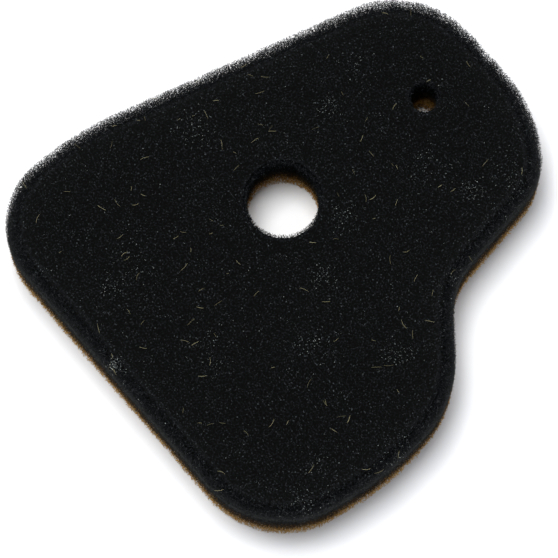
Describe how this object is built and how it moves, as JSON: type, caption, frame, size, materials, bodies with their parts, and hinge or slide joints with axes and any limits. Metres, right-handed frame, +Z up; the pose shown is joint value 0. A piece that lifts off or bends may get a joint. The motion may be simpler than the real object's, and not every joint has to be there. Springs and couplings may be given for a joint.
{
  "type": "air filter element",
  "caption": "Flat die-cut two-layer foam air filter element for a scooter air box: fine black foam over coarse amber foam, with two through holes and a relief notch.",
  "frame": {"origin": "on the axis of the centre hole, at the underside (the coarse foam's free face)", "axes": "+Z up through the layers, from the coarse foam to the fine foam; +X along the long straight edge of the outline, which lies on the -Y side; +Y from that edge towards the narrow lobe"},
  "size_m": [0.1228, 0.132, 0.023],
  "materials": {
    "fine_foam": "open-cell, velvety, matt",
    "bond_web": "matt adhesive web",
    "coarse_foam": "coarse open-cell, slightly glossy struts"
  },
  "bodies": {
    "root": {"fine_foam_layer": "fine_foam", "bond_web": "bond_web", "coarse_foam_layer": "coarse_foam"}
  },
  "joints": []
}
